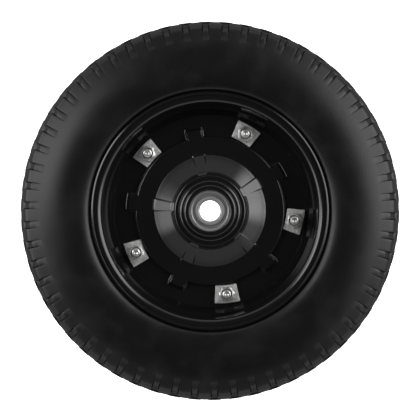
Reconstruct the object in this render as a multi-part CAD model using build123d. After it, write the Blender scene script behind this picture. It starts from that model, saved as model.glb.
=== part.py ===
from build123d import *
import os
from math import atan2, ceil, cos, degrees, hypot, pi, radians, remainder, sin, tan

# Barrow wheel: a solid rubber tyre on a split pressed-steel rim, with a shielded ball bearing
# pressed into each half of the hub. Millimetres. The axle axis is Z, the side with the nuts
# is up, and the origin is the middle of the wheel on its axle.

# Tyre
tyre_diameter = 350.0
tyre_width = 80.0
crown_radius = 58.5          # curve of the tread across the wheel
widest_radius = 127.0        # where the sidewall bulges furthest
bead_side_chords = 3         # straight stretches from the rim out to the widest place
outer_side_chords = 2        # and from there to the shoulder blocks
sidewall_edge_height = 34.7  # half width of the rubber where the shoulder blocks begin
bead_edge_height = 33.6      # half width of the rubber beside the rim's lip
tyre_seat_clearance = 0.2    # between the rubber and the rim
tyre_lip_clearance = 0.6     # between the rubber and the outside of the rim's lip

# Tread
pitch_count = 58
first_slot_angle = 4.8       # middle of one shoulder slot, seen from the nut side
slot_share = 0.32            # part of a pitch that the slot takes
block_inner_radius = 153.6
block_step = 1.0             # how far a shoulder block stands out of the sidewall
block_outer_radius = 167.8
block_outer_height = 28.2
slot_knee_radius = 164.0     # the slot's floor turns down here
slot_knee_height = 28.6
centre_rib_width = 28.0
ring_groove_width = 4.4
ring_groove_depth = 4.0
crown_flat_width = 12.0      # the middle of the centre rib runs straight across

# Rim halves, each pressed from one sheet, measured on its front face
sheet = 2.5
bearing_lip_radius = 18.4    # hole in the end of the hub
hub_half_length = 36.0
upper_ledge_height = 26.5    # first ledge of the hub, below the bearing cup
upper_ledge_radius = 28.3
lower_ledge_height = 22.5
lower_ledge_radius = 32.7
cone_top_height = 19.3       # where the hub's last wall runs into the cone
cone_base_bend = 3.0
flat_ring_width = 17.3       # from the foot of the cone out to the step
flat_ring_height = 8.0
step_slant = 0.4             # the step between flat ring and web leans out by this much
web_inside_bolts = 9.3       # from the bolt circle in to the step
web_outside_bolts = 11.2     # from the bolt circle out to the foot of the barrel
bead_seat_inner_rise = 7.6   # from the web out to the inner end of the bead seat
bead_seat_inner_height = 17.9
bead_seat_rise = 2.0         # from there out to the flange
flange_height = 32.0
flange_width = 9.5           # from the bead seat out to the outside of the lip
flange_lip_height = 34.6
flare_bend = 4.1
lip_bend = 1.1
chord_turn = 91.0            # most degrees that one chord of a bend may turn

# Ribs pressed into each rim half, between the bolts
rib_count = 5
first_rib_angle = 29.7
rib_spread = 12.4            # degrees between the two sides of a rib
rib_rise = 1.3               # height of a rib above the cone
rib_inner_gap = 3.4          # from the hub's last wall out to the rib
rib_past_bolts = 1.6         # from the bolt circle out to the rib's end

# Bolts, nuts and clamp plates
first_bolt_angle = 65.4
bolt_circle_radius = 78.0
bolt_radius = 4.0
bolt_hole_clearance = 0.25
bolt_head_height = 5.3
bolt_projection = 2.6        # threads that show past the nut
nut_across_flats = 13.0
nut_height = 6.5
nut_thread_clearance = 0.05
plate_thickness = 3.0
plate_inside_bolts = 7.3     # from the bolt circle in to the plate's inner edge
plate_outside_bolts = 9.6    # and out to its outer edge
plate_spread = 15.8          # degrees between the two ends of a plate
plate_twist = -6.0           # how far a plate turned with its nut as it was tightened
untwisted_plate = 2

# Bearings, 20 mm bore, 42 mm outside, 12 mm wide
bearing_bore_radius = 10.0
bearing_outer_radius = 21.0
bearing_width = 12.0
inner_ring_radius = 13.0
outer_ring_inner_radius = 18.6
shield_thickness = 0.6
shield_inset = 0.5           # below the end faces of the rings
shield_gap = 0.3             # between the shield and the inner ring, which turns

# Spacer between the two inner rings
spacer_bore_clearance = 0.2
spacer_wall = 2.4

# Sizes that follow from those above
tyre_radius = tyre_diameter / 2
tyre_half_width = tyre_width / 2
pitch_angle = 360 / pitch_count
slot_angle = slot_share * pitch_angle
flat_ring_radius = bolt_circle_radius - web_inside_bolts
web_outer_radius = bolt_circle_radius + web_outside_bolts
bead_seat_inner_radius = web_outer_radius + bead_seat_inner_rise
bead_seat_radius = bead_seat_inner_radius + bead_seat_rise
flange_lip_radius = bead_seat_radius + flange_width
cone_base_radius = flat_ring_radius - flat_ring_width
rib_inner_radius = lower_ledge_radius + rib_inner_gap
rib_outer_radius = bolt_circle_radius + rib_past_bolts
plate_inner_radius = bolt_circle_radius - plate_inside_bolts
plate_outer_radius = bolt_circle_radius + plate_outside_bolts
bearing_end = hub_half_length - sheet
bearing_start = bearing_end - bearing_width
bolt_hole_radius = bolt_radius + bolt_hole_clearance
plate_top = sheet + plate_thickness
nut_top = plate_top + nut_height
bolt_spacing = 360 / rib_count


def crown_drop(height):
    """How far the crown of the tread has fallen at this distance from the wheel's middle."""
    return crown_radius - (crown_radius**2 - height**2) ** 0.5


def section(points):
    """A flat face in the XZ plane with straight sides through these (radius, height) points."""
    return Plane.XZ * make_face(Polyline(*points, close=True))


def turned(points):
    """A solid of revolution about the axle from a section with straight sides."""
    return revolve(section(points), Axis.Z)


def both_halves(solid):
    """The same solid on the front and on the rear of the wheel."""
    return [solid, mirror(solid, about=Plane.XY)]


def beside(points, distance):
    """The points of a path moved sideways by a distance, to its left where that is positive.

    Each corner is mitred, so that every stretch stays parallel to the one it came from.
    """
    normals = []
    for (r0, z0), (r1, z1) in zip(points, points[1:]):
        length = hypot(r1 - r0, z1 - z0)
        normals.append((-(z1 - z0) / length, (r1 - r0) / length))
    before = [normals[0]] + normals
    after = normals + [normals[-1]]
    moved = []
    for (r, z), (ar, az), (br, bz) in zip(points, before, after):
        scale = distance / (1 + ar * br + az * bz)
        moved.append((r + (ar + br) * scale, z + (az + bz) * scale))
    return moved


def hub_line():
    """Front face of the sheet from the hole in the hub's end to the web: points and bends."""
    cup_radius = bearing_outer_radius + sheet
    return [
        ((bearing_lip_radius, hub_half_length), 0),
        ((cup_radius, hub_half_length), 0),
        ((cup_radius, upper_ledge_height), 0),
        ((upper_ledge_radius, upper_ledge_height), 0),
        ((upper_ledge_radius, lower_ledge_height), 0),
        ((lower_ledge_radius, lower_ledge_height), 0),
        ((lower_ledge_radius, cone_top_height), 0),
        ((cone_base_radius, flat_ring_height), cone_base_bend),
        ((flat_ring_radius, flat_ring_height), 0),
    ]


def barrel_line():
    """Front face of the sheet from the web out to the rim's lip: points and bends."""
    lip_radius = flange_lip_radius - sheet
    return [
        ((web_outer_radius, sheet), 0),
        ((bead_seat_inner_radius, bead_seat_inner_height), 0),
        ((bead_seat_radius, flange_height), flare_bend),
        ((lip_radius, flange_height), lip_bend),
        ((lip_radius, flange_lip_height), 0),
    ]


def rim_line():
    """The whole front face of one pressed rim half."""
    step_foot = ((flat_ring_radius + step_slant, sheet), 0)
    return hub_line() + [step_foot] + barrel_line()


def bent(line):
    """The points of a line of (point, bend) pairs, with each bend as chords of its arc."""
    points = [line[0][0]]
    for ((r0, z0), _), ((r1, z1), bend), ((r2, z2), _) in zip(line, line[1:], line[2:]):
        before = atan2(z1 - z0, r1 - r0)
        turn = remainder(atan2(z2 - z1, r2 - r1) - before, 2 * pi)
        if bend == 0:
            points.append((r1, z1))
            continue
        set_back = bend * tan(abs(turn) / 2)
        r, z = r1 - set_back * cos(before), z1 - set_back * sin(before)
        points.append((r, z))
        chords = ceil(degrees(abs(turn)) / chord_turn)
        length = 2 * bend * sin(abs(turn) / chords / 2)
        for chord in range(chords):
            way = before + turn * (chord + 0.5) / chords
            r, z = r + length * cos(way), z + length * sin(way)
            points.append((r, z))
    points.append(line[-1][0])
    return points


def pressed_sheet():
    """The rim half before its ribs and holes: its section, turned about the axle."""
    front = bent(rim_line())
    back = beside(front, -sheet)
    return turned(front + back[::-1])


def wedge(angle, spread, inset):
    """A wedge about the axle at this angle, its two sides moved in by the inset."""
    half = radians(spread / 2)
    apex = inset / sin(half)
    reach = web_outer_radius
    far = (apex + reach * cos(half), reach * sin(half))
    face = make_face(Polyline((apex, 0), far, (far[0], -far[1]), close=True))
    return Rot(0, 0, angle) * extrude(face, amount=hub_half_length)


def rib_section(depth):
    """What a rib adds to the sheet, from the web up to a depth below the rib's top."""
    run = cone_base_radius - lower_ledge_radius
    fall = cone_top_height - flat_ring_height
    lift = (rib_rise - depth) * hypot(run, fall) / run
    inner = rib_inner_radius + depth
    inner_height = cone_top_height - (inner - lower_ledge_radius) * fall / run + lift
    top = flat_ring_height - depth
    foot = lower_ledge_radius + (cone_top_height + lift - top) * run / fall
    outer = rib_outer_radius - depth
    return section([(inner, 0), (inner, inner_height), (foot, top), (outer, top), (outer, 0)])


def under_sheet():
    """Everything behind the back face of the sheet, from the hub to the web."""
    line = [point for point, bend in rim_line()]
    web_end = (web_outer_radius, sheet)
    back = beside(line[: line.index(web_end) + 1], -sheet)
    back = [(r, max(z, 0)) for r, z in back]
    return turned(back + [(back[-1][0], -sheet), (back[0][0], -sheet)])


def rim_half():
    """The front rim half: pressed sheet, five hollow-backed ribs and five bolt holes."""
    rim = pressed_sheet()
    rib = revolve(rib_section(0), Axis.Z)
    hollow = revolve(rib_section(sheet), Axis.Z)
    behind = under_sheet()
    hole = Cylinder(bolt_hole_radius, 3 * sheet)
    for index in range(rib_count):
        angle = first_rib_angle + index * bolt_spacing
        rim += (rib & wedge(angle, rib_spread, 0)) - behind
        rim -= hollow & wedge(angle, rib_spread, sheet)
    rim -= [place * hole for place in bolt_places()]
    return rim


def bolt_places():
    """The five bolt positions, each turned so that its X axis points away from the axle."""
    angles = [first_bolt_angle + index * bolt_spacing for index in range(rib_count)]
    return [Rot(0, 0, angle) * Pos(bolt_circle_radius, 0, 0) for angle in angles]


def sidewall():
    """The sidewall's curve as chords: a quarter ellipse up from the rim, then a parabola."""
    lip_radius = flange_lip_radius + tyre_lip_clearance
    bulge = tyre_half_width - bead_edge_height
    rise = widest_radius - lip_radius
    fall = tyre_half_width - sidewall_edge_height
    points = []
    for chord in range(bead_side_chords):
        turn = radians(90) * chord / bead_side_chords
        points.append((widest_radius - rise * cos(turn), bead_edge_height + bulge * sin(turn)))
    for chord in range(outer_side_chords + 1):
        share = chord / outer_side_chords
        radius = widest_radius + (block_inner_radius - widest_radius) * share
        points.append((radius, tyre_half_width - fall * share**2))
    return points


def tyre_half_outline():
    """Outline of the upper half of the tyre's section, from the rim's middle to the tread."""
    seat = beside(bent(barrel_line()), -sheet - tyre_seat_clearance)
    (r0, z0), (r1, z1) = seat[:2]
    seat[0] = (r0 - z0 * (r1 - r0) / (z1 - z0), 0)
    rib_edge = centre_rib_width / 2
    groove_end = rib_edge + ring_groove_width
    rib_edge_radius = tyre_radius - crown_drop(rib_edge)
    groove_floor = rib_edge_radius - ring_groove_depth
    return seat[:-1] + sidewall() + [
        (block_inner_radius, sidewall_edge_height + block_step),
        (block_outer_radius, block_outer_height),
        (tyre_radius - crown_drop(groove_end), groove_end),
        (groove_floor, groove_end),
        (groove_floor, rib_edge),
        (rib_edge_radius, rib_edge),
        (tyre_radius, crown_flat_width / 2),
    ]


def tyre_body():
    """The tyre with its two ring grooves, before the cross slots are cut."""
    half = tyre_half_outline()
    other = [(r, -z) for r, z in reversed(half[1:])]
    return turned(half + other)


def shoulder_slot():
    """One cross slot between two shoulder blocks, its floor level with the sidewall."""
    floor_height = centre_rib_width / 2 + ring_groove_width / 2
    floor_radius = tyre_radius - crown_drop(centre_rib_width / 2) - ring_groove_depth
    face = section([
        (block_inner_radius, sidewall_edge_height),
        (slot_knee_radius, slot_knee_height),
        (floor_radius, floor_height),
        (tyre_radius, floor_height),
        (tyre_radius, tyre_half_width),
        (block_inner_radius, tyre_half_width),
    ])
    return Rot(0, 0, -slot_angle / 2) * revolve(face, Axis.Z, slot_angle)


def tyre():
    """The whole solid rubber tyre with its tread."""
    slots = both_halves(shoulder_slot())
    cuts = []
    for index in range(pitch_count):
        turn = Rot(0, 0, first_slot_angle + index * pitch_angle)
        cuts += [turn * slot for slot in slots]
    return tyre_body() - cuts


def hexagon(across_flats, height):
    """A hexagonal prism standing on the XY plane."""
    return extrude(RegularPolygon(across_flats / 2, 6, major_radius=False), amount=height)


def bolt():
    """One bolt, its hexagon head against the back of the rear rim half."""
    shank_length = nut_top + bolt_projection + sheet
    shank = Pos(0, 0, -sheet) * extrude(Circle(bolt_radius), amount=shank_length)
    head = Pos(0, 0, -sheet - bolt_head_height) * hexagon(nut_across_flats, bolt_head_height)
    return head + shank


def nut():
    """One hexagon nut on top of its clamp plate."""
    hole = Cylinder(bolt_radius + nut_thread_clearance, 3 * nut_height)
    return Pos(0, 0, plate_top) * (hexagon(nut_across_flats, nut_height) - hole)


def clamp_plate():
    """One plate under a nut: a piece of a ring, drawn about its own bolt."""
    ring = Circle(plate_outer_radius) - Circle(plate_inner_radius)
    half = radians(plate_spread / 2)
    far = 2 * plate_outer_radius
    corner = (far * cos(half), far * sin(half))
    piece = ring & make_face(Polyline((0, 0), corner, (corner[0], -corner[1]), close=True))
    piece = Pos(-bolt_circle_radius, 0, 0) * piece - Circle(bolt_hole_radius)
    return Pos(0, 0, sheet) * extrude(piece, amount=plate_thickness)


def bearing_ring(inner, outer):
    """One ring of a bearing."""
    return turned([
        (inner, bearing_start),
        (outer, bearing_start),
        (outer, bearing_end),
        (inner, bearing_end),
    ])


def bearing_shield():
    """The outer shield of a bearing, held by the outer ring and clear of the inner one."""
    top = bearing_end - shield_inset
    inner = inner_ring_radius + shield_gap
    return turned([
        (inner, top - shield_thickness),
        (outer_ring_inner_radius, top - shield_thickness),
        (outer_ring_inner_radius, top),
        (inner, top),
    ])


def spacer():
    """The tube that keeps the two inner rings apart."""
    inner = bearing_bore_radius + spacer_bore_clearance
    outer = inner + spacer_wall
    return turned([
        (inner, -bearing_start),
        (outer, -bearing_start),
        (outer, bearing_start),
        (inner, bearing_start),
    ])


def save(node, shape):
    """Write one node as its own STEP file."""
    export_step(shape, f"parts/{node}.step")


def main():
    """Make every node of the wheel."""
    os.makedirs("parts", exist_ok=True)
    save("tyre", tyre())
    rims = both_halves(rim_half())
    save("rim_front", rims[0])
    save("rim_rear", rims[1])
    for number, place in enumerate(bolt_places(), start=1):
        twist = 0 if number == untwisted_plate else plate_twist
        save(f"bolt_{number}", place * bolt())
        save(f"nut_{number}", place * Rot(0, 0, twist) * nut())
        save(f"clamp_plate_{number}", place * Rot(0, 0, twist) * clamp_plate())
    outer_rings = both_halves(bearing_ring(outer_ring_inner_radius, bearing_outer_radius))
    inner_rings = both_halves(bearing_ring(bearing_bore_radius, inner_ring_radius))
    shields = both_halves(bearing_shield())
    for index, side in enumerate(["front", "rear"]):
        save(f"{side}_bearing_outer_ring", outer_rings[index])
        save(f"{side}_bearing_inner_ring", inner_rings[index])
        save(f"{side}_bearing_shield", shields[index])
    save("axle_spacer", spacer())


main()
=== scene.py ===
"""Looks of a solid rubber barrow wheel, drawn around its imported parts.

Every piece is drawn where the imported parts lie: the axle along Z, the side with the nuts up,
and the origin in the middle of the wheel. Sizes are millimetres and become metres only when a
mesh is made.
"""

import logging
import math
from dataclasses import dataclass
from enum import Enum

import bmesh
import bpy
import numpy as np
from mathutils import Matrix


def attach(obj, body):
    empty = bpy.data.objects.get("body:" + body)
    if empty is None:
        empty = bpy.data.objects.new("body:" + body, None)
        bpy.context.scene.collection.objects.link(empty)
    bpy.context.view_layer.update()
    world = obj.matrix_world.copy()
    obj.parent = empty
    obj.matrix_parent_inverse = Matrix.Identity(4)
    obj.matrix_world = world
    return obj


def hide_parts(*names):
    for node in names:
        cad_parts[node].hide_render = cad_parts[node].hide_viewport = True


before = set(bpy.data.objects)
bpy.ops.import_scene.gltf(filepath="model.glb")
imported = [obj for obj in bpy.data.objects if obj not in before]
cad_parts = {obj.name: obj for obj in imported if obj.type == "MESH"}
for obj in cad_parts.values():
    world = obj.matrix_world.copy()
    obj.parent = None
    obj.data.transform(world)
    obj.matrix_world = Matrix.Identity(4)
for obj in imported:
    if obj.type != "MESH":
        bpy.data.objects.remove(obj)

LOG = logging.getLogger("wheel")
MM = 0.001


class Side(Enum):
    """The two sides of the wheel, with the way that each looks along the axle."""

    FRONT = 1
    REAR = -1

    @property
    def label(self) -> str:
        """Name of the side as the parts spell it."""
        return self.name.lower()


class Body(Enum):
    """The two bodies of the wheel: what rolls, and what the axle holds still."""

    WHEEL = "wheel"
    SLEEVE = "axle_sleeve"


class Wire:
    """The output of a shader node. Arithmetic on it adds Math nodes."""

    def __init__(self, nodes: "Nodes", socket: bpy.types.NodeSocket) -> None:
        """Hold the socket and the node tree that it belongs to."""
        self.nodes = nodes
        self.socket = socket

    def _math(self, operation: str, *values: "Wire | float") -> "Wire":
        """Add one Math node that takes these values."""
        made = self.nodes.node("Math", {"operation": operation}, dict(enumerate(values)))
        return Wire(self.nodes, made.outputs[0])

    def __add__(self, other: "Wire | float") -> "Wire":
        """The sum."""
        return self._math("ADD", self, other)

    def __sub__(self, other: "Wire | float") -> "Wire":
        """The difference."""
        return self._math("SUBTRACT", self, other)

    def __rsub__(self, other: float) -> "Wire":
        """The difference from a number."""
        return self._math("SUBTRACT", other, self)

    def __mul__(self, other: "Wire | float") -> "Wire":
        """The product."""
        return self._math("MULTIPLY", self, other)

    def __truediv__(self, other: "Wire | float") -> "Wire":
        """The quotient."""
        return self._math("DIVIDE", self, other)

    def __pow__(self, other: float) -> "Wire":
        """The power."""
        return self._math("POWER", self, other)

    __radd__ = __add__
    __rmul__ = __mul__

    def step(self, low: float, high: float) -> "Wire":
        """A smooth step from 0 at the low value to 1 at the high one."""
        settings = {"interpolation_type": "SMOOTHSTEP"}
        values = {"Value": self, "From Min": low, "From Max": high}
        return Wire(self.nodes, self.nodes.node("MapRange", settings, values).outputs[0])


class Nodes:
    """An emptied node tree, with calls that read as expressions."""

    def __init__(self, tree: bpy.types.NodeTree) -> None:
        """Empty the tree and start it with the place of each point."""
        self.tree = tree
        self.tree.nodes.clear()
        self.place = self.node("TexCoord").outputs["Object"]

    def node(
        self, kind: str, settings: dict | None = None, inputs: dict | None = None
    ) -> bpy.types.Node:
        """Add a node of any kind.

        Args:
            kind: Node type without its leading "ShaderNode".
            settings: Properties of the node, set before its sockets.
            inputs: A value, wire or socket for each input, by name or number.

        Returns:
            The new node.
        """
        made = self.tree.nodes.new("ShaderNode" + kind)
        for key, value in (settings or {}).items():
            setattr(made, key, value)
        for key, value in (inputs or {}).items():
            self.feed(made.inputs[key], value)
        return made

    def feed(self, target: bpy.types.NodeSocket, value: object) -> None:
        """Link a wire or a socket to an input, or set the input's own value."""
        source = value.socket if isinstance(value, Wire) else value
        if isinstance(source, bpy.types.NodeSocket):
            self.tree.links.new(source, target)
        else:
            target.default_value = source

    def axes(self) -> tuple[Wire, Wire, Wire]:
        """X, Y and Z of the place, or of the way looked in for the surroundings."""
        split = self.node("SeparateXYZ", inputs={0: self.place})
        x, y, z = (Wire(self, socket) for socket in split.outputs)
        return x, y, z

    def noise(self, size: float, detail: float = 2.0) -> Wire:
        """Smooth noise around 0.5.

        Args:
            size: Size of its lumps in millimetres.
            detail: Finer layers that it carries.

        Returns:
            The noise.
        """
        values = {"Vector": self.place, "Scale": 1 / (size * MM), "Detail": detail}
        return Wire(self, self.node("TexNoise", inputs=values).outputs[0])

    def mix(self, share: Wire, first: tuple, second: tuple) -> bpy.types.NodeSocket:
        """Colour between two colours, the second where the share is 1."""
        values = {0: share, 6: (*first, 1.0), 7: (*second, 1.0)}
        return self.node("Mix", {"data_type": "RGBA"}, values).outputs[2]


class Shader(Nodes):
    """A new material around one Principled shader."""

    def __init__(self, name: str) -> None:
        """Start a material of this name."""
        self.material = bpy.data.materials.new(name)
        self.material.use_nodes = True
        super().__init__(self.material.node_tree)
        self.inputs = self.node("BsdfPrincipled").inputs
        surface = self.inputs[0].node.outputs[0]
        self.node("OutputMaterial", inputs={"Surface": surface})

    def set(self, name: str, value: object) -> None:
        """Give one input of the Principled shader its wire or its value."""
        self.feed(self.inputs[name], value)

    def bump(self, height: Wire, depth: float) -> None:
        """Press a relief of this depth in millimetres into the surface."""
        values = {"Height": height, "Strength": 1.0, "Distance": depth * MM}
        self.set("Normal", self.node("Bump", inputs=values).outputs[0])


@dataclass(frozen=True)
class Finish:
    """A plain finish, and what every finish has: a slot, a colour and a gloss."""

    slot: str
    colour: tuple[float, float, float]
    roughness: float
    metallic: float = 0.0

    def material(self) -> bpy.types.Material:
        """Make the material of this finish.

        Returns:
            The material, which carries the name of its slot.
        """
        shader = Shader(self.slot)
        shader.set("Base Color", (*self.colour, 1.0))
        shader.set("Metallic", self.metallic)
        shader.set("Roughness", self.roughness)
        self.texture(shader)
        shader.material["slot"] = self.slot
        return shader.material

    def texture(self, shader: Shader) -> None:
        """Leave the plain finish without any grain."""


@dataclass(frozen=True)
class Rubber(Finish):
    """Moulded rubber: fine grain, and slow patches where it is a little duller."""

    dusty: tuple[float, float, float] = (0.0062, 0.0062, 0.0062)
    dusty_from: tuple[float, float] = (0.42, 0.72)
    patch: float = 22.0
    grain: float = 1.2
    grain_depth: float = 0.09
    spread: float = 0.06
    sheen: float = 0.28

    def texture(self, shader: Shader) -> None:
        """Vary the colour, gloss and grain of the rubber."""
        patches = shader.noise(self.patch, 4.0)
        grain = shader.noise(self.grain, 3.0)
        dusty = patches.step(*self.dusty_from)
        shader.set("Base Color", shader.mix(dusty, self.colour, self.dusty))
        shader.set("Specular IOR Level", self.sheen)
        shader.set("Roughness", patches * self.spread + grain * self.spread + self.roughness)
        shader.bump(grain, self.grain_depth)


@dataclass(frozen=True)
class Enamel(Finish):
    """Gloss stoving enamel with a faint flow in its skin."""

    flow: float = 9.0
    flow_depth: float = 0.02
    dust: float = 0.5
    dust_from: tuple[float, float] = (0.55, 0.8)
    dust_spread: float = 0.12

    def texture(self, shader: Shader) -> None:
        """Lay a slow wave into the paint, and fine dust into its gloss."""
        dust = shader.noise(self.dust, 2.0).step(*self.dust_from)
        shader.set("Roughness", dust * self.dust_spread + self.roughness)
        shader.bump(shader.noise(self.flow, 1.0), self.flow_depth)


@dataclass(frozen=True)
class Zinc(Finish):
    """Zinc-plated steel with a mottled gloss and a rolled or cut grain."""

    dull: tuple[float, float, float] = (0.38, 0.38, 0.37)
    dull_from: tuple[float, float] = (0.35, 0.65)
    mottle: float = 2.6
    grain: float = 0.45
    grain_depth: float = 0.02
    spread: float = 0.22

    def texture(self, shader: Shader) -> None:
        """Mottle the zinc's colour and gloss, and roughen it."""
        mottle = shader.noise(self.mottle, 3.0)
        grain = shader.noise(self.grain, 2.0)
        dull = mottle.step(*self.dull_from)
        shader.set("Base Color", shader.mix(dull, self.colour, self.dull))
        shader.set("Roughness", mottle * self.spread + self.roughness)
        shader.bump(grain, self.grain_depth)


@dataclass(frozen=True)
class TurnedSteel(Finish):
    """Ground or pressed steel, its marks running round the axle, and a painted highlight past a
    radius.
    """

    # Colour past the radius: a painted highlight over the shield's roll; on the bearing rings it
    # leaves the outer ring slightly darker.
    painted_highlight_colour: tuple[float, float, float] = (0.30, 0.30, 0.30)
    painted_highlight_from: tuple[float, float] = (16.1, 16.9)
    mark: float = 0.25
    mark_depth: float = 0.004
    spread: float = 0.12

    def texture(self, shader: Shader) -> None:
        """Give the steel its fine rings, and paint the highlight past the radius into its colour.
        """
        x, y, _ = shader.axes()
        radius = (x * x + y * y) ** 0.5 / MM
        rings = shader.node(
            "TexNoise",
            {"noise_dimensions": "1D"},
            {"W": radius, "Scale": 1 / self.mark, "Detail": 2.0},
        )
        marks = Wire(shader, rings.outputs[0])
        # Painted highlight: the base colour changes past this radius, which brightens the shield's
        # roll.
        painted_highlight_share = radius.step(*self.painted_highlight_from)
        shader.set("Base Color", shader.mix(painted_highlight_share, self.colour, self.painted_highlight_colour))
        shader.set("Roughness", marks * self.spread + self.roughness)
        shader.bump(marks, self.mark_depth)


class Finishes:
    """The wheel's finishes, each made once."""

    def __init__(self) -> None:
        """Make every material."""
        self.rubber = Rubber("tyre_rubber", (0.0027, 0.0027, 0.0027), 0.28).material()
        self.enamel = Enamel("rim_paint", (0.0045, 0.0045, 0.0045), 0.13).material()
        self.plate = Zinc("zinc_plate", (0.52, 0.53, 0.53), 0.40, 0.55).material()
        self.fastener = Zinc("zinc_fastener", (0.70, 0.70, 0.68), 0.20, 0.85).material()
        self.ring = TurnedSteel("bearing_steel", (0.33, 0.33, 0.33), 0.34, 0.75).material()
        # The shield keeps the default painted highlight colour, brighter than its own, over its
        # roll.
        self.shield = TurnedSteel("shield_steel", (0.185, 0.185, 0.185), 0.38, 0.75).material()
        self.spacer = Finish("spacer_steel", (0.40, 0.40, 0.39), 0.38, 1.0).material()


def rounded(
    corners: np.ndarray, bends: np.ndarray, steps: int = 6, closed: bool = False
) -> tuple[np.ndarray, np.ndarray]:
    """Round the corners of a path.

    A corner P with bend radius b, where the way u turns by the angle t towards its left normal n,
    becomes the arc P - u b |tan(t/2)| + b (u sin|s| + sign(t) n (1 - cos s)) for s from 0 to t.

    Args:
        corners: Points of the path, one a row.
        bends: Bend radius at each corner, 0 where it stays sharp.
        steps: Points along each arc.
        closed: Whether the path comes back to its first point.

    Returns:
        Points of the rounded path, and the unit way that it runs at each.
    """
    before = corners - np.roll(corners, 1, axis=0)
    after = np.roll(corners, -1, axis=0) - corners
    if not closed:
        before[0], after[-1] = after[0], before[-1]
    before = before / np.linalg.norm(before, axis=1)[:, None]
    after = after / np.linalg.norm(after, axis=1)[:, None]
    cross = before[:, 0] * after[:, 1] - before[:, 1] * after[:, 0]
    turn = np.arctan2(cross, (before * after).sum(1))
    left = np.stack([-before[:, 1], before[:, 0]], axis=1)
    start = corners - before * (bends * np.abs(np.tan(turn / 2)))[:, None]
    swing = (np.linspace(0, 1, steps)[None, :] * turn[:, None])[..., None]
    bend = bends[:, None, None]
    forward = before[:, None, :] * np.sin(np.abs(swing))
    sideways = (left * np.sign(turn)[:, None])[:, None, :] * (1 - np.cos(swing))
    points = (start[:, None, :] + bend * (forward + sideways)).reshape(-1, 2)
    ways = before[:, None, :] * np.cos(swing) + left[:, None, :] * np.sin(swing)
    ways = ways.reshape(-1, 2)
    moved = np.linalg.norm(np.diff(points, axis=0, prepend=points[:1] - 1), axis=1) > 1e-6
    return points[moved], ways[moved]


def ring_section(corners: list[tuple[float, float, float]], steps: int = 5) -> np.ndarray:
    """Closed section through (radius, height, bend) corners."""
    table = np.array(corners, float)
    return rounded(table[:, :2], table[:, 2], steps, closed=True)[0]


def around(count: int) -> np.ndarray:
    """Evenly spaced angles round a full turn, in radians."""
    return np.linspace(0, 2 * math.pi, count, endpoint=False)


def all_round(section: list | np.ndarray, columns: int) -> np.ndarray:
    """The same (radius, height) points in every column."""
    return np.repeat(np.array(section, float)[:, None, :], columns, axis=1)


def level(radii: np.ndarray, heights: np.ndarray) -> np.ndarray:
    """Rows of points that are level, each row with its own radius in every column."""
    return np.stack([radii, np.repeat(heights[:, None], radii.shape[1], axis=1)], axis=-1)


def soft_step(share: np.ndarray) -> np.ndarray:
    """Smooth step s^2 (3 - 2 s) of a share that is cut to between 0 and 1."""
    share = np.clip(share, 0, 1)
    return share * share * (3 - 2 * share)


@dataclass
class Grid:
    """Rows of points around an axis: row i, column j is (r cos t_j, r sin t_j, z)."""

    points: np.ndarray
    closed: bool = True

    @classmethod
    def turned(cls, section: np.ndarray, angles: np.ndarray, closed: bool = True) -> "Grid":
        """Turn a section about the axis.

        Args:
            section: Radius and height, one point a row, or one for each row and angle.
            angles: Angles in radians.
            closed: Whether the section comes back to its first point.

        Returns:
            The grid, ordered so that its faces look out of the solid.
        """
        if section.ndim == 2:
            section = all_round(section, len(angles))
        r, z = section[:, 0, 0], section[:, 0, 1]
        area = (r * np.roll(z, -1) - z * np.roll(r, -1)).sum()
        if area < 0:
            section = section[::-1]
        r, z = section[..., 0], section[..., 1]
        return cls(np.stack([r * np.cos(angles), r * np.sin(angles), z], axis=-1), closed)

    def faces(self) -> np.ndarray:
        """Faces between neighbouring rows and columns.

        Returns:
            Numbers of the four corners of every face.
        """
        rows, columns = self.points.shape[:2]
        row = np.arange(rows if self.closed else rows - 1)[:, None]
        column = np.arange(columns)[None, :]
        here, there = row * columns, (row + 1) % rows * columns
        beside = (column + 1) % columns
        corners = [here + column, here + beside, there + beside, there + column]
        return np.stack(corners, axis=-1).reshape(-1, 4)

    def moved(self, offset: tuple[float, float, float]) -> "Grid":
        """The same grid at another place."""
        return Grid(self.points + np.array(offset), self.closed)


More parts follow.
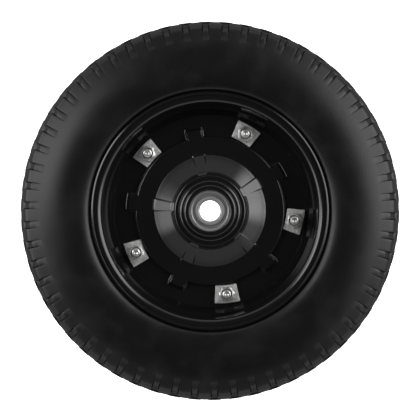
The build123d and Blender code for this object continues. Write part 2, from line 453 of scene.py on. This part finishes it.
@dataclass
class Piece:
    """One finished piece: where it belongs, what it stands for and how it is dressed."""

    name: str
    material: bpy.types.Material
    stands_for: str
    body: Body = Body.WHEEL
    crease: float = 34.0

    def build(self, grids: list[Grid], turn: float = 0.0, flip: int = 1) -> bpy.types.Object:
        """Make the mesh.

        Args:
            grids: Surfaces that make up the piece, in millimetres.
            turn: Angle by which the whole piece is turned about the axle, in degrees.
            flip: -1 for the mirror image on the rear side.

        Returns:
            The piece, riding on its body.
        """
        points = np.vstack([g.points.reshape(-1, 3) for g in grids])
        starts = np.cumsum([0] + [g.points.size // 3 for g in grids[:-1]])
        faces = np.vstack([g.faces() + start for g, start in zip(grids, starts)])
        c, s = math.cos(math.radians(turn)), math.sin(math.radians(turn))
        points = points @ np.array([[c, s, 0], [-s, c, 0], [0, 0, 1]])
        if flip < 0:
            points, faces = points * (1, 1, -1), faces[:, ::-1]
        mesh = bpy.data.meshes.new(self.name)
        mesh.from_pydata(points * MM, [], faces)
        self.close_seams(mesh)
        mesh.set_sharp_from_angle(angle=math.radians(self.crease))
        mesh.materials.append(self.material)
        made = bpy.data.objects.new(self.name, mesh)
        bpy.context.scene.collection.objects.link(made)
        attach(made, self.body.value)
        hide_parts(self.stands_for)
        LOG.info("%s: %d faces", self.name, len(mesh.polygons))
        return made

    @staticmethod
    def close_seams(mesh: bpy.types.Mesh) -> None:
        """Weld the poles and seams, and turn every face outward."""
        work = bmesh.new()
        work.from_mesh(mesh)
        bmesh.ops.remove_doubles(work, verts=work.verts, dist=1e-7)
        bmesh.ops.dissolve_degenerate(work, edges=work.edges, dist=1e-7)
        bmesh.ops.recalc_face_normals(work, faces=work.faces)
        work.to_mesh(mesh)
        work.free()
        mesh.polygons.foreach_set("use_smooth", np.ones(len(mesh.polygons), bool))
        mesh.update()


@dataclass
class Tyre:
    """The solid rubber tyre, one surface whose tread is a displacement of its section.

    At the angle t the section is slot(s) + m(t) (block(s) - slot(s)): the line over a shoulder
    block where the mask m is 1, and the line along a slot's floor where it is 0. Along each side
    of a slot m falls below 0, which makes a crease in its floor.
    """

    radius: float = 175.0
    half_width: float = 40.0
    widest: float = 127.0
    lip: float = 108.55
    lip_height: float = 33.6
    bead_power: float = 0.335
    block_start: float = 153.6
    edge_height: float = 34.85
    pitches: int = 58
    first_slot: float = 4.5
    slot_crease: float = -0.3
    rib_top: float = 15.0
    rib_foot: float = 169.5
    notch_height: float = 8.0
    notch_run: float = 5.0
    notch_depth: float = 3.0
    crown_dip: float = 0.35

    def sidewall(self) -> np.ndarray:
        """Curve from the rim out to the widest place, then a parabola to the blocks.

        At the share s of its width the first rises by (1 - (1 - s)^2)^bead_power.

        Returns:
            Radius and height of each point.
        """
        share = np.sin(np.linspace(0, math.pi / 2, 16)) ** 2
        inner_r = self.lip + (self.widest - self.lip) * share
        rise = (1 - (1 - share) ** 2) ** self.bead_power
        inner_z = self.lip_height + (self.half_width - self.lip_height) * rise
        share = np.linspace(0, 1, 10)[1:]
        outer_r = self.widest + (self.block_start - self.widest) * share
        outer_z = self.half_width - (self.half_width - self.edge_height) * share**2
        return np.vstack([np.stack([inner_r, inner_z], 1), np.stack([outer_r, outer_z], 1)])

    def masks(self) -> tuple[np.ndarray, np.ndarray, np.ndarray]:
        """Columns of the tread, 14 to a pitch, which runs from a slot's middle to the next.

        Returns:
            Angle, block mask and notch mask of every column.
        """
        share = np.array([0, 14, 17.6, 19.4, 22, 29, 33, 50, 67, 71, 78, 80.6, 82.4, 86]) / 100
        from_slot = np.minimum(share, 1 - share)
        block = np.interp(from_slot, [0.14, 0.176, 0.194, 0.22], [0, self.slot_crease, 0.9, 1])
        notch = np.interp(share, [0.29, 0.33, 0.67, 0.71], [0, 1, 1, 0])
        pitch = 360 / self.pitches
        angles = self.first_slot + pitch * (np.arange(self.pitches)[:, None] + share)
        angles = np.radians(angles.ravel())
        return angles, np.tile(block, self.pitches), np.tile(notch, self.pitches)

    def surface(self) -> Grid:
        """The whole surface, from the rim's middle over both sidewalls and the tread.

        The crown's middle rib is notched: its edge is lowered and its outside dips in.

        Returns:
            The closed surface.
        """
        seat = [
            (91.0, 0.0), (97.7, 8.5), (99.5, 17.1), (101.9, 29.0), (103.0, 29.2), (108.1, 29.2),
            (108.15, 31.6), (108.5, 32.2),
        ]
        start = np.vstack([seat, self.sidewall()])
        crown = [
            (172.7, 14.05), (173.25, 13.85), (173.6, 13.0), (174.35, 9.2), (174.85, 6.6),
            (self.radius, 5.4), (self.radius, 0.0),
        ]
        block = [
            (153.8, 34.77), (156.0, 33.92), (159.3, 32.64), (162.6, 31.36), (164.2, 30.68),
            (165.3, 30.08), (166.2, 29.4), (166.95, 28.6), (167.6, 27.6), (168.3, 26.2),
            (170.3, 22.2), (171.75, 18.9), (171.95, 18.5), (171.4, 18.35), (169.7, 18.15),
            (169.3, 17.6), (169.3, 14.8), (169.6, 14.2), *crown,
        ]
        slot = [
            (153.8, 34.75), (156.8, 32.95), (159.0, 32.07), (161.0, 31.25), (162.3, 30.6),
            (163.2, 29.9), (163.8, 29.1), (164.3, 28.1), (164.7, 27.1), (165.1, 26.1),
            (166.9, 22.0), (167.9, 19.6), (168.5, 18.5), (169.3, 18.0), (170.6, 17.3),
            (171.2, 16.7), (171.3, 15.2), (171.4, 14.2), *crown,
        ]
        angles, is_block, is_notch = self.masks()
        block, slot = np.array(block)[:, None, :], np.array(slot)[:, None, :]
        tread = slot + is_block[None, :, None] * (block - slot)
        rib = np.clip(self.rib_top - tread[..., 1], 0, 1) * (tread[..., 0] > self.rib_foot)
        edge = rib * np.clip((tread[..., 1] - self.notch_height) / self.notch_run, 0, 1)
        tread[..., 1] -= self.notch_depth * is_notch * edge
        tread[..., 0] -= self.crown_dip * is_notch * rib
        half = np.concatenate([all_round(start, len(angles)), tread])
        lower = half[-2:0:-1] * (1, -1)
        return Grid.turned(np.concatenate([half, lower]), angles)

    def build(self, finishes: Finishes) -> None:
        """Make the tyre."""
        Piece("rubber_tyre", finishes.rubber, "tyre", crease=38.0).build([self.surface()])


@dataclass
class RimHalf:
    """One pressed half of the rim: a sheet that follows its middle line, with five raised ribs.

    Over a rib the front face is lifted from its own height z to z + m(t) e(r) (top(r) - z),
    where m is the mask across the rib, e ends it over the web and top(r) is its ridge.
    """

    side: Side
    sheet: float = 2.5
    hub_height: float = 36.0
    step_height: float = 26.5
    foot_height: float = 22.5
    cone_top: tuple[float, float] = (32.7, 19.3)
    cone_foot: tuple[float, float] = (51.4, 8.0)
    cone_slant: float = 1.173
    flat_height: float = 8.0
    flange_height: float = 32.0
    lip_radius: float = 108.0
    lip_height: float = 34.6
    hub_rounding: float = 0.9
    lip_drop: float = 1.4
    ribs: int = 5
    first_rib: float = 29.7
    rib_half_spread: float = 6.2
    rib_lift: float = 0.42
    rib_start: float = 34.2
    rib_run: float = 2.6
    rib_rise: float = 5.5
    rib_side: float = 1.8
    rib_end: float = 79.6
    wall_run: float = 0.4
    side_fillet: tuple[float, float] = (1.8, 1.8)
    end_fillet: tuple[float, float] = (6.6, 4.0)
    side_inset: float = 0.9
    end_inset: float = 4.4
    web_start: float = 60.0

    def middle_line(self) -> tuple[np.ndarray, np.ndarray]:
        """Middle of the sheet from the hub's hole to the lip, and the way it runs.

        Straight stretches have rows only where a rib rises from them.

        Returns:
            Radius and height of each point, and the unit way at each.
        """
        half = self.sheet / 2
        hub, step, foot = (h - half for h in (self.hub_height, self.step_height, self.foot_height))
        flat, flange = self.flat_height - half, self.flange_height - half
        lip, slant = self.lip_radius - half, self.cone_slant * half
        cone = [(r, self.cone_line(r) - slant, 0) for r in (36.2, 36.8, 37.6, 39, 41, 44, 48)]
        ring = [(r, flat, 0) for r in (54.5, 57, 60, 62.5, 65.0)]
        end = (75.0, 75.2, 75.4, 75.7, 76.1, 76.6, 77.2, 77.8, 78.4, 79.0, 79.6, 80.4)
        web = [(r, half, 0) for r in (72, *end, 84)]
        corners = [
            (18.4, hub, 0), (22.45, hub, 1.25), (22.45, step, 1.6), (27.2, step, 2.2),
            (27.2, foot, 1.4), (31.45, foot, 0.45), (31.45, 19.2, 1.9), (35.2, 16.33, 6.0),
            *cone, (51.05, flat, 2.0), *ring, (67.7, flat, 0.3), (68.0, half, 1.7), *web,
            (89.6, half, 1.3), (95.9, 9.2, 5.0), (98.9, flange, 4.6), (lip, flange, 1.5),
            (lip, self.lip_height, 0),
        ]
        table = np.array(corners, float)
        points, ways = rounded(table[:, :2], table[:, 2], steps=7)
        points[0] += ways[0] * self.hub_rounding
        points[-1] -= ways[-1] * self.lip_drop
        return points, ways

    def cone_line(self, r: float) -> float:
        """Height of the front of the cone at this radius."""
        (r0, z0), (r1, z1) = self.cone_top, self.cone_foot
        return z0 + (r - r0) * (z1 - z0) / (r1 - r0)

    def columns(self) -> tuple[np.ndarray, np.ndarray]:
        """Columns round the rim, close together where a rib's side rises.

        Returns:
            Angle of every column in radians, and its degrees away from the nearest rib.
        """
        centres = self.first_rib + 360 / self.ribs * np.arange(self.ribs)
        sides = centres[:, None] + np.array([-1, 1]) * self.rib_half_spread
        near = np.array([0.22, 0.44, 0.66, 1.0, 1.5, 2.1, 2.8])
        fine = sides[..., None] + np.concatenate([-near[::-1], [0], near])
        plain = np.arange(0, 360, 1.5)
        clear = 3.1
        gap = np.abs((plain[:, None] - sides.ravel() + 180) % 360 - 180).min(1)
        angles = np.sort(np.concatenate([fine.ravel() % 360, plain[gap > clear]]))
        return np.radians(angles), np.abs((angles[:, None] - centres + 180) % 360 - 180).min(1)

    def ridge(self, r: np.ndarray) -> np.ndarray:
        """Height of the ribs' top: above the cone, then level with the flat ring.

        Where the cone's height c meets the ring's height f it is
        (c + f + sqrt((c - f)^2 + 0.6)) / 2 - 0.05, a soft bend.

        Args:
            r: Radius of each row.

        Returns:
            The height of the ridge at each radius.
        """
        cone = self.cone_line(r) + self.rib_lift * soft_step((r - self.rib_start) / self.rib_run)
        flat = self.flat_height
        return 0.5 * (cone + flat + np.sqrt((cone - flat) ** 2 + 0.6)) - 0.05

    def fillet(self, past: np.ndarray, radius: float, width: float) -> np.ndarray:
        """Share of a rib's height left at a distance past the top edge of its wall.

        The wall drops over a short run q onto a hollow arc of radius R, which runs out over the
        width w: (R - sqrt(R^2 - (w + q - past)^2)) / the rib's height.

        Args:
            past: Distance past the edge in millimetres.
            radius: Radius of the arc.
            width: Width over which the arc runs out.

        Returns:
            The share, 1 on the rib and 0 on the sheet.
        """
        run = np.clip(width + self.wall_run - past, 0, width)
        arc = (radius - np.sqrt(radius**2 - run**2)) / self.rib_rise
        return arc + (1 - arc) * np.clip(1 - past / self.wall_run, 0, 1)

    def front(self, points: np.ndarray, ways: np.ndarray, off: np.ndarray) -> np.ndarray:
        """Front face of the sheet with its ribs, one point for each row and angle.

        On the cone a rib's side is the smooth step((h + w/2 - off) / w) around the half spread h,
        and in the web both its sides and its end are filleted walls.

        Args:
            points: Middle of the sheet.
            ways: Way that it runs at each point.
            off: Degrees from each column to the nearest rib.

        Returns:
            Radius and height for each row and column.
        """
        left = np.stack([-ways[:, 1], ways[:, 0]], 1)
        face = points + left * self.sheet / 2
        r, z = face[:, :1], face[:, 1:]
        width = np.degrees(self.rib_side / r)
        soft = soft_step((self.rib_half_spread + width / 2 - off[None, :]) / width)
        past = np.radians(off[None, :] - self.rib_half_spread) * r + self.side_inset
        hard = self.fillet(past, *self.side_fillet)
        end = self.fillet(r - self.rib_end + self.end_inset, *self.end_fillet)
        mask = np.where(r < self.web_start, soft, hard * end)
        lift = np.maximum(self.ridge(r) - z, 0) * (z < self.cone_top[1]) * (r > self.cone_top[0])
        return np.stack([np.repeat(r, len(off), axis=1), z + lift * mask], axis=-1)

    def lip_edge(self, point: np.ndarray) -> np.ndarray:
        """Top edge of the lip: at the share s across it has fallen by 0.61 s + 0.39 s^4.

        Args:
            point: Last point of the middle line.

        Returns:
            Radius and height of each point across the sheet.
        """
        share = np.linspace(0, 1, 11)
        height = 1 - 0.61 * share - 0.39 * share**4
        return point + np.stack([(share - 0.5) * self.sheet, height * self.lip_drop], 1)

    def hub_edge(self, point: np.ndarray) -> np.ndarray:
        """Rounded edge of the hub's hole, from the back of the sheet round to its front.

        At the turn t it lies cos(t)^0.8 across the sheet and sin(t)^0.8 out of it.

        Args:
            point: First point of the middle line.

        Returns:
            Radius and height of each point across the sheet.
        """
        turn = np.linspace(math.pi - 0.12, 0.12, 11)
        across = np.sign(np.cos(turn)) * np.abs(np.cos(turn)) ** 0.8 * self.sheet / 2
        return point + np.stack([-np.sin(turn) ** 0.8 * self.hub_rounding, across], 1)

    def surface(self) -> Grid:
        """Join the ribbed front, the lip, the plain back and the hub's edge.

        Returns:
            The closed surface.
        """
        points, ways = self.middle_line()
        angles, off = self.columns()
        front = self.front(points, ways, off)
        left = np.stack([-ways[:, 1], ways[:, 0]], 1)
        back = (points - left * self.sheet / 2)[::-3]
        plain = np.vstack([self.lip_edge(points[-1]), back, self.hub_edge(points[0])])
        return Grid.turned(np.concatenate([front, all_round(plain, len(angles))]), angles)

    def build(self, finishes: Finishes) -> None:
        """Make this half of the rim."""
        name = "rim_" + self.side.label
        piece = Piece("painted_" + name, finishes.enamel, name, crease=50.0)
        piece.build([self.surface()], flip=self.side.value)


@dataclass
class Fastening:
    """One bolt with its nut and clamp plate, drawn about the bolt and moved to its place."""

    number: int
    twist: float = -6.0
    bolts: int = 5
    circle: float = 78.0
    first: float = 65.4
    sheet: float = 2.5
    plate: float = 3.0
    plate_radii: tuple[float, float] = (70.2, 86.8)
    plate_spread: float = 15.8
    plate_corner: float = 0.7
    flats: float = 13.0
    flat_chamfer: float = 0.25
    foot_chamfer: float = 0.25
    chamfer_depths: tuple[float, ...] = (0, 0.12, 0.25, 0.42, 0.62, 0.9, 1.4)
    nut_height: float = 6.5
    collar: float = 1.5
    head_height: float = 5.3
    thread_radius: float = 4.0
    thread_pitch: float = 1.25
    thread_depth: float = 0.62
    thread_gap: float = 0.05
    end_chamfer: float = 0.75
    shank_radius: float = 3.9
    projection: float = 2.6
    facets: int = 72
    thread_facets: int = 40

    @property
    def angle(self) -> float:
        """Angle of this bolt round the axle."""
        return self.first + 360 / self.bolts * (self.number - 1)

    @property
    def nut_base(self) -> float:
        """Height of the top of the clamp plate, on which the nut sits."""
        return self.sheet + self.plate

    @property
    def nut_top(self) -> float:
        """Height of the nut's collar."""
        return self.nut_base + self.nut_height

    def hexagon(self, depths: np.ndarray, angles: np.ndarray) -> np.ndarray:
        """Radius of a chamfered hexagon.

        At the angle t the flats lie at f / cos(t'), with t' measured from the nearest flat's
        middle, and the 30 degree chamfer cuts them to f - c + d / tan 30 at the depth d.

        Args:
            depths: Depth of each row below the hexagon's face.
            angles: Angle of each column.

        Returns:
            The radius for each row and column.
        """
        sector = (angles + math.pi / 6) % (math.pi / 3) - math.pi / 6
        flats = self.flats / 2 / np.cos(sector)
        chamfer = self.flats / 2 - self.flat_chamfer + depths / math.tan(math.radians(30))
        return np.minimum(flats[None, :], chamfer[:, None])

    def nut(self) -> Grid:
        """Hexagon lock nut: a chamfered hexagon with a rolled collar round its sunk thread.

        Returns:
            The nut, standing on the clamp plate.
        """
        angles = around(self.facets)
        depths = np.array(self.chamfer_depths)
        base, top = self.nut_base, self.nut_top
        shoulder = top - self.collar
        upper = level(self.hexagon(depths, angles), shoulder - depths)
        foot_depths = depths[3::-1]
        foot = level(self.hexagon(foot_depths + self.foot_chamfer, angles), base + foot_depths)
        bore = self.thread_radius + self.thread_gap
        ring = [
            (bore, base), (bore, top - 2.1), (4.6, top - 1.9), (4.85, top - 1.5),
            (4.9, top - 0.5), (5.0, top - 0.22), (5.2, top - 0.05), (5.45, top), (5.7, top - 0.1),
            (5.9, top - 0.32), (6.0, top - 0.65), (6.02, shoulder),
        ]
        ring = all_round(ring, self.facets)
        return Grid.turned(np.concatenate([upper, foot, ring]), angles)

    def rod(self) -> Grid:
        """The bolt's threaded end, which shows past the nut, and its plain shank.

        The thread's radius is r0 - d |2 frac(z / pitch - t / 2 pi) - 1|, faded into the chamfer.

        Returns:
            The rod, from its end to the back of the sheet.
        """
        columns = self.thread_facets
        angles = around(columns)
        top = self.nut_top + self.projection
        rows = np.linspace(top - 0.35, self.nut_top - 1.2, 24)
        phase = rows[:, None] / self.thread_pitch - angles[None, :] / (2 * math.pi)
        depth = self.thread_depth * np.abs(2 * (phase % 1) - 1)
        chamfer = self.thread_radius - self.end_chamfer + (top - rows)[:, None]
        thread = level(np.minimum(self.thread_radius - depth, chamfer), rows)
        end = [(0, top - 0.5), (0.9, top - 0.45), (1.5, top - 0.2), (1.9, top - 0.02), (2.9, top)]
        r = self.shank_radius
        shank = [(r, self.nut_base + 4.0), (r, -self.sheet), (0, -self.sheet)]
        section = np.concatenate([all_round(end, columns), thread, all_round(shank, columns)])
        return Grid.turned(section, angles, closed=False)

    def head(self) -> Grid:
        """The bolt's hexagon head, under the rear half of the rim.

        Returns:
            The head, a closed solid.
        """
        angles = around(self.facets)
        depths = np.array([*self.chamfer_depths, self.head_height - 0.2])
        low, high = -self.sheet - self.head_height, -self.sheet
        side = level(self.hexagon(depths, angles), low + depths)
        below = all_round([(0, low), (self.flats / 2 - 0.5, low)], self.facets)
        above = all_round([(6.2, high), (0, high)], self.facets)
        return Grid.turned(np.concatenate([below, side, above]), angles, closed=False)

    def clamp_plate(self) -> Grid:
        """Sector-shaped plate: a rounded oblong (u, v) bent to (v cos u/R, v sin u/R).

        Returns:
            The plate, lying on the web with its edges softened.
        """
        inner, outer = self.plate_radii
        middle = (inner + outer) / 2
        half = math.radians(self.plate_spread / 2) * middle
        box = np.array([(-half, inner), (half, inner), (half, outer), (-half, outer)])
        outline, ways = rounded(box, np.full(4, self.plate_corner), steps=6, closed=True)
        along = np.linspace(0, 1, 7)[:-1, None]
        nexts, next_ways = np.roll(outline, -1, axis=0), np.roll(ways, -1, axis=0)
        outline = (outline[:, None] + (nexts - outline)[:, None] * along).reshape(-1, 2)
        ways = (ways[:, None] + (next_ways - ways)[:, None] * along).reshape(-1, 2)
        out = np.stack([ways[:, 1], -ways[:, 0]], 1)
        top, low = self.nut_base, self.sheet
        insets = np.array([0.5, 0.12, 0.0, 0.0, 0.06, 0.22, 0.5])
        heights = np.array([low, low + 0.1, low + 0.4, top - 0.6, top - 0.3, top - 0.08, top])
        flat = outline[None] - out[None] * insets[:, None, None]
        centre = np.repeat(np.array([[[0.0, middle]]]), outline.shape[0], axis=1)
        flat = np.concatenate([centre, flat, centre])
        heights = np.concatenate([[low], heights, [top]])
        u, v = flat[..., 0] / middle, flat[..., 1]
        x, y = v * np.cos(u) - self.circle, v * np.sin(u)
        z = np.repeat(heights[:, None], outline.shape[0], axis=1)
        return Grid(np.stack([x, y, z], axis=-1), closed=False)

    def turned_in_place(self, grid: Grid, twist: float) -> Grid:
        """Turn a grid about the bolt's own axis and move it out to the bolt circle.

        Args:
            grid: Surface drawn about the bolt.
            twist: Angle in degrees.

        Returns:
            The moved surface.
        """
        c, s = math.cos(math.radians(twist)), math.sin(math.radians(twist))
        spun = grid.points @ np.array([[c, s, 0], [-s, c, 0], [0, 0, 1]])
        return Grid(spun, grid.closed).moved((self.circle, 0, 0))

    def build(self, finishes: Finishes) -> None:
        """Make the bolt, the nut and the plate."""
        n = self.number
        rows = [
            ("screw", f"bolt_{n}", finishes.fastener, [self.rod(), self.head()], 0.0),
            ("hexagon", f"nut_{n}", finishes.fastener, [self.nut()], self.twist),
            ("zinced", f"clamp_plate_{n}", finishes.plate, [self.clamp_plate()], self.twist),
        ]
        for prefix, node, material, grids, twist in rows:
            placed = [self.turned_in_place(grid, twist) for grid in grids]
            Piece(f"{prefix}_{node}", material, node, crease=28.0).build(placed, turn=self.angle)


@dataclass
class Bearing:
    """One ball bearing: two rings and a pressed shield with a roll near its edge."""

    side: Side
    bore: float = 10.0
    inner: float = 13.0
    groove: float = 18.6
    outer: float = 21.0
    start: float = 21.5
    end: float = 33.5
    shield_recess: float = 0.5
    shield_sheet: float = 0.6

    def rings(self) -> dict[str, np.ndarray]:
        """Sections of the outer and inner ring.

        Returns:
            The closed section of each ring, by the name of the ring.
        """
        low, top = self.start, self.end
        outer = [(self.groove, low, 0.3), (self.outer, low, 0.9), (self.outer, top, 0.9),
                 (self.groove, top, 0.3)]
        inner = [(self.bore, low, 0.7), (self.inner, low, 0.35), (self.inner, top, 0.35),
                 (self.bore, top, 0.7)]
        return {"outer_ring": ring_section(outer), "inner_ring": ring_section(inner)}

    def shield(self) -> np.ndarray:
        """Section of the shield: a flat that ends at the inner ring, and a roll round it.

        Returns:
            Radius and height of each point of the closed section.
        """
        top = self.end - self.shield_recess
        middle = [(18.5, top - 1.2, 0), (18.25, top - 0.35, 0.35), (16.7, top - 0.42, 0.4),
                  (16.0, top - 1.05, 0.8), (13.3, top - 1.05, 0)]
        table = np.array(middle)
        points, ways = rounded(table[:, :2], table[:, 2])
        left = np.stack([-ways[:, 1], ways[:, 0]], 1) * self.shield_sheet / 2
        return np.vstack([points - left, (points + left)[::-1]])

    def build(self, finishes: Finishes) -> None:
        """Make both rings and the shield."""
        label, flip = self.side.label, self.side.value
        angles = around(160)
        bodies = {"outer_ring": Body.WHEEL, "inner_ring": Body.SLEEVE}
        for kind, section in self.rings().items():
            node = f"{label}_bearing_{kind}"
            piece = Piece("ground_" + node, finishes.ring, node, bodies[kind])
            piece.build([Grid.turned(section, angles)], flip=flip)
        node = f"{label}_bearing_shield"
        piece = Piece("pressed_" + node, finishes.shield, node)
        piece.build([Grid.turned(self.shield(), angles)], flip=flip)


@dataclass
class Spacer:
    """The tube between the two inner rings."""

    inner: float = 10.2
    wall: float = 2.4
    half_length: float = 21.5

    def build(self, finishes: Finishes) -> None:
        """Make the tube."""
        r0, r1, z = self.inner, self.inner + self.wall, self.half_length
        section = ring_section([(r0, -z, 0.3), (r1, -z, 0.3), (r1, z, 0.3), (r0, z, 0.3)])
        piece = Piece("tube_axle_spacer", finishes.spacer, "axle_spacer", Body.SLEEVE)
        piece.build([Grid.turned(section, around(96))])


@dataclass(frozen=True)
class SoftBox:
    """A round soft light far away.

    Its azimuth, elevation, and outer and inner half angle are in degrees.
    """

    azimuth: float
    elevation: float
    outer: float
    inner: float
    strength: float

    def light(self, way: tuple[Wire, Wire, Wire]) -> Wire:
        """What the box adds along a way.

        Args:
            way: X, Y and Z of the unit way looked in.

        Returns:
            The strength that it adds.
        """
        a, e = math.radians(self.azimuth), math.radians(self.elevation)
        facing = (math.cos(a) * math.cos(e), math.sin(a) * math.cos(e), math.sin(e))
        cosine = way[0] * facing[0] + way[1] * facing[1] + way[2] * facing[2]
        edges = [math.cos(math.radians(half)) for half in (self.outer, self.inner)]
        return cosine.step(*edges) * self.strength


@dataclass
class Studio:
    """Camera, pale floor and soft light.

    The zoom is in pixels per millimetre at the middle of the wheel, and the centre in pixels.
    """

    distance: float = 1000.0
    zoom: float = 1.0757
    image: float = 420.0
    sensor: float = 36.0
    centre: tuple[float, float] = (0.02, -0.85)
    floor_height: float = -500.0
    floor_half: float = 25000.0
    edge: tuple[float, float] = (0.56, 0.68)
    dusk: tuple[float, float] = (-0.45, 0.05)
    band: tuple[float, float] = (0.12, 0.42)
    overhead: float = 0.055
    low: float = 0.85
    horizon: float = 0.65
    deep: float = 0.25
    boxes: tuple[SoftBox, ...] = (
        SoftBox(19.0, 32.0, 34.0, 14.0, 5.4),
        SoftBox(160.0, 46.0, 18.0, 12.0, 7.0),
        SoftBox(185.0, 22.0, 24.0, 10.0, 3.2),
        SoftBox(345.0, 24.0, 30.0, 5.0, 0.9),
        SoftBox(162.0, 3.0, 28.0, 12.0, 2.4),
    )

    def camera(self) -> None:
        """Put the camera above the nuts, looking straight down the axle."""
        data = bpy.data.cameras.new("camera")
        data.sensor_width = self.sensor
        span = self.image / self.zoom
        data.lens = self.sensor * self.distance / span
        data.shift_x = -self.centre[0] / self.image
        data.shift_y = -self.centre[1] / self.image
        data.clip_start, data.clip_end = 0.05, 60.0
        camera = bpy.data.objects.new("camera", data)
        camera.location = (0.0, 0.0, self.distance * MM)
        bpy.context.scene.collection.objects.link(camera)
        bpy.context.scene.camera = camera

    def floor(self) -> None:
        """Lay a plain white floor well behind the wheel."""
        half, z = self.floor_half * MM, self.floor_height * MM
        mesh = bpy.data.meshes.new("floor")
        corners = [(-half, -half, z), (half, -half, z), (half, half, z), (-half, half, z)]
        mesh.from_pydata(corners, [], [(0, 1, 2, 3)])
        shader = Shader("white_floor")
        shader.set("Base Color", (0.8, 0.8, 0.8, 1.0))
        shader.set("Roughness", 0.9)
        shader.set("Emission Color", (1.0, 1.0, 1.0, 1.0))
        shader.set("Emission Strength", 1.0)
        mesh.materials.append(shader.material)
        floor = bpy.data.objects.new("floor", mesh)
        floor.visible_glossy = False
        floor.visible_diffuse = False
        bpy.context.scene.collection.objects.link(floor)

    def sky(self) -> None:
        """Surround the wheel with light.

        Seen along the unit way d its strength is
        overhead + (1 - step(d.z)) (deep + (horizon - deep + low (1 - step(d.z))) step(d.z))
        + sum of boxes, each step between its own two heights,
        and a soft box that looks along n adds strength step(d.n) between the cosines of its
        outer and its inner half angle.
        """
        world = bpy.data.worlds.new("surroundings")
        world.use_nodes = True
        nodes = Nodes(world.node_tree)
        way = nodes.axes()
        low = (1.0 - way[2].step(*self.band)) * self.low
        glow = way[2].step(*self.dusk) * (low + self.horizon - self.deep) + self.deep
        strength = (1.0 - way[2].step(*self.edge)) * glow + self.overhead
        for box in self.boxes:
            strength = strength + box.light(way)
        background = nodes.node("Background", inputs={"Strength": strength})
        nodes.node("OutputWorld", inputs={"Surface": background.outputs[0]})
        bpy.context.scene.world = world

    def build(self) -> None:
        """Set up the studio."""
        bpy.context.scene.view_settings.view_transform = "Standard"
        self.camera()
        self.floor()
        self.sky()


def main() -> None:
    """Build every sub-assembly, then the studio."""
    logging.basicConfig(level=logging.INFO, format="%(name)s %(message)s")
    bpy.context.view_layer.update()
    finishes = Finishes()
    assemblies = [Tyre(), RimHalf(Side.FRONT), RimHalf(Side.REAR)]
    straight = Fastening(2, twist=0.0)
    assemblies += [Fastening(1), straight, Fastening(3), Fastening(4), Fastening(5)]
    assemblies += [Bearing(Side.FRONT), Bearing(Side.REAR), Spacer()]
    for assembly in assemblies:
        assembly.build(finishes)
    Studio().build()


if __name__ == "__main__":
    main()
